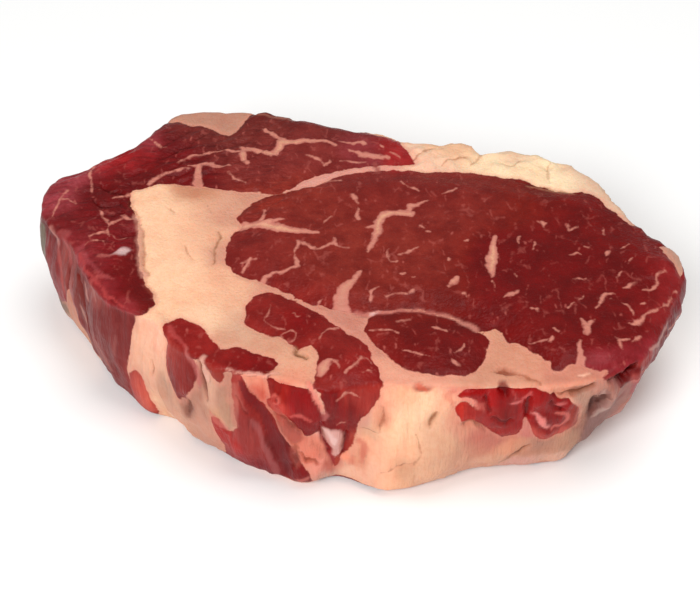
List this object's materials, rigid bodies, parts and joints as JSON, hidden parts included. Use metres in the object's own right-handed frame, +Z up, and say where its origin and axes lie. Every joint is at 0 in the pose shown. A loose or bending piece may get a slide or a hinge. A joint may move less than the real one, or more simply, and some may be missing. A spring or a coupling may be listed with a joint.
{
  "type": "raw ribeye steak",
  "caption": "Thick-cut raw boneless ribeye steak lying flat, with a large eye, a cap, a thick seam of fat between them and a trimmed fat edge.",
  "frame": {"origin": "on the resting plane, under the middle of the steak's bounding box", "axes": "+Z up out of the cut face that shows, +X along the steak's length towards the outer end of the eye, -Y towards the trimmed rib side"},
  "size_m": [0.1704, 0.1125, 0.0401],
  "materials": {
    "raw_beef": "moist cut lean with cream fat, soft satin"
  },
  "bodies": {
    "root": {"steak": "raw_beef"}
  },
  "joints": []
}
